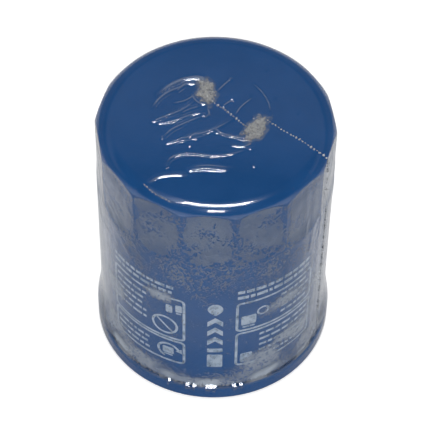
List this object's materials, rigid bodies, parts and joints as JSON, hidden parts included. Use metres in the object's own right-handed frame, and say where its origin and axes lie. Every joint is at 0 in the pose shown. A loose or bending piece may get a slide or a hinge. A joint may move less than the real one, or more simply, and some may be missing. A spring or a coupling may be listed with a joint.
{
  "type": "spin-on oil filter",
  "caption": "Spin-on oil filter: drawn can with wrench flats, seamed cover, threaded base plate, gasket, pleated element with bypass and check valves, in shrink film.",
  "frame": {"origin": "centre of the gasket's sealing face, on the thread's axis; the filter stands on its gasket", "axes": "+Z along the thread's axis towards the can's closed end; -Y faces the viewer, towards the middle of one wrench flat"},
  "size_m": [0.0686, 0.0686, 0.0867],
  "materials": {
    "blue_paint": "glossy dark blue stoving paint",
    "cover_paint": "dark blue paint on the rolled seam, bare zinc plating inside it",
    "plate_steel": "bare steel, oiled, with turning marks",
    "gasket_rubber": "matt black nitrile with a thin film of grease",
    "valve_rubber": "matt red-brown silicone rubber",
    "cap_steel": "tinplate with drawing marks",
    "filter_paper": "resin-stiffened crinkled filter paper",
    "tube_steel": "bare perforated steel sheet",
    "potting_glue": "dull red cast plastisol",
    "valve_steel": "zinc-plated pressed steel",
    "facing_rubber": "matt black nitrile",
    "spring_steel": "drawn spring wire",
    "leaf_steel": "blued spring strip",
    "film": "clear shrink film, hazy where it bridges"
  },
  "bodies": {
    "housing": {"can": "blue_paint", "seam_cover": "cover_paint", "base_plate": "plate_steel", "gasket": "gasket_rubber", "lower_end_cap": "cap_steel", "upper_end_cap": "cap_steel", "pleated_media": "filter_paper", "media_clip": "cap_steel", "centre_tube": "tube_steel", "lower_potting": "potting_glue", "upper_potting": "potting_glue", "bypass_housing": "valve_steel", "bypass_seat": "valve_steel", "bypass_spring": "spring_steel", "leaf_spring": "leaf_steel", "shrink_film": "film"},
    "bypass_poppet": {"bypass_disc": "valve_steel", "bypass_facing": "facing_rubber"},
    "drain_valve": {"drain_valve": "valve_rubber"}
  },
  "joints": [
    {"name": "bypass_slide", "type": "slide", "parent": "housing", "child": "bypass_poppet", "axis": [0, 0, -1], "range_m": [0, 0.003], "stiffness_N_per_m": 1200, "deforming": ["bypass_spring"]},
    {"name": "drain_valve_lift", "type": "slide", "parent": "housing", "child": "drain_valve", "axis": [0, 0, 1], "range_m": [0, 0.0008], "stiffness_N_per_m": 400, "deforming": ["drain_valve"]}
  ]
}
